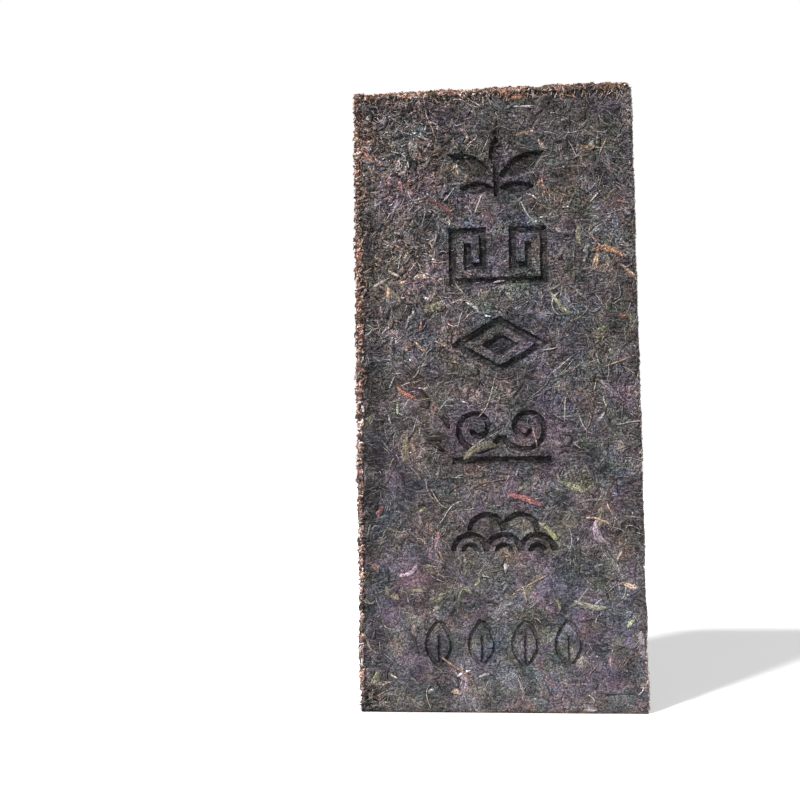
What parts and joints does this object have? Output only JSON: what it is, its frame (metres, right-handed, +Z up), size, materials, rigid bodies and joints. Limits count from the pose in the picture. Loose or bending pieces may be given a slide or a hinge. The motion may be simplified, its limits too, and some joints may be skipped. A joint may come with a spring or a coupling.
{
  "type": "dark tea brick",
  "caption": "Slab of dark pressed tea leaf standing on its short end, with pressed ornaments down one face and crumbly leaf edges.",
  "frame": {"origin": "centre of the short end that the brick stands on, under the middle of the slab", "axes": "+Z up along the brick's long side, +Y through its thickness away from the marked face, +X to the right of someone who looks at the marked face"},
  "size_m": [0.155, 0.04, 0.3399],
  "materials": {
    "pressed_tea": "dark slate brown pressed leaf, finely grained, with a slight sheen on the pressed face and rough brown rims",
    "leaf_scraps": "thin dry leaf scraps, slate, teal, purple, olive and red brown, satin",
    "stems": "dry stems and fibres, cream to pinkish brown, matt",
    "crumbs": "brown tea crumbs and torn leaf ends along the rims, matt"
  },
  "bodies": {
    "root": {"tea_brick": "pressed_tea"}
  },
  "joints": []
}
